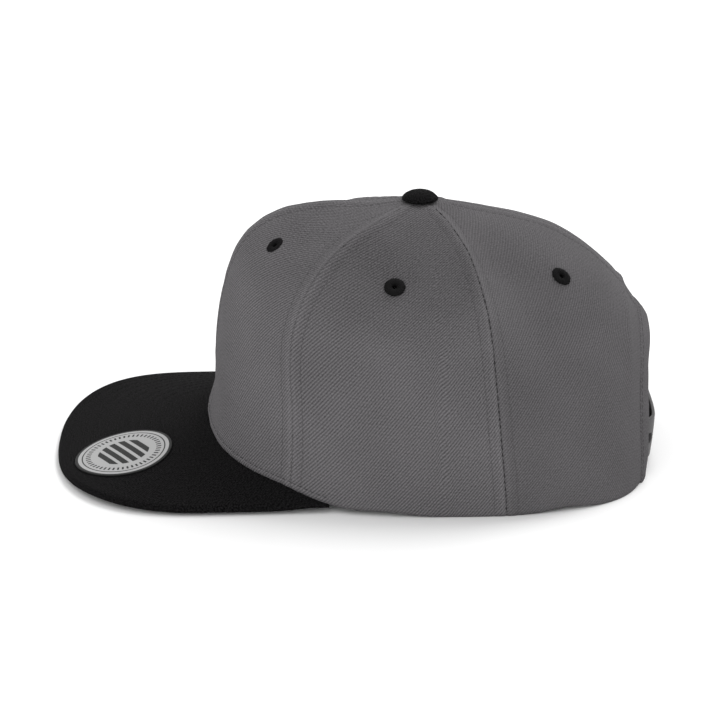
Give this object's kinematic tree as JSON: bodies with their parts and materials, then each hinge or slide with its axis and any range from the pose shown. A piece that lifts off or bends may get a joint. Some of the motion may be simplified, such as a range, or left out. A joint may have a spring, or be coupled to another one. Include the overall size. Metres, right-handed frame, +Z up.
{
  "type": "flat bill cap",
  "caption": "Six-panel structured cloth cap with a stiff flat bill, a covered top button, sewn eyelets and an arched back opening closed by plastic snap straps.",
  "frame": {"origin": "on the ground under the middle of the cap's overall length and width, where it lies on its rim", "axes": "+Z up, -Y towards the tip of the bill, +X towards the wearer's left"},
  "size_m": [0.171, 0.2752, 0.1229],
  "materials": {
    "crown_cloth": "matt grey twill",
    "bill_cloth": "matt black twill",
    "eyelet_thread": "black embroidery thread",
    "strap_plastic": "satin moulded plastic",
    "sticker_foil": "brushed silver foil on card"
  },
  "bodies": {
    "root": {"panel_front_left": "crown_cloth", "panel_front_right": "crown_cloth", "panel_side_left": "crown_cloth", "panel_side_right": "crown_cloth", "panel_rear_left": "crown_cloth", "panel_rear_right": "crown_cloth", "arch_binding": "crown_cloth", "bill": "bill_cloth", "button": "bill_cloth", "eyelet_front_left": "eyelet_thread", "eyelet_front_right": "eyelet_thread", "eyelet_side_left": "eyelet_thread", "eyelet_side_right": "eyelet_thread", "eyelet_rear_left": "eyelet_thread", "eyelet_rear_right": "eyelet_thread", "strap_left": "strap_plastic", "strap_right": "strap_plastic", "bill_sticker": "sticker_foil"}
  },
  "joints": []
}
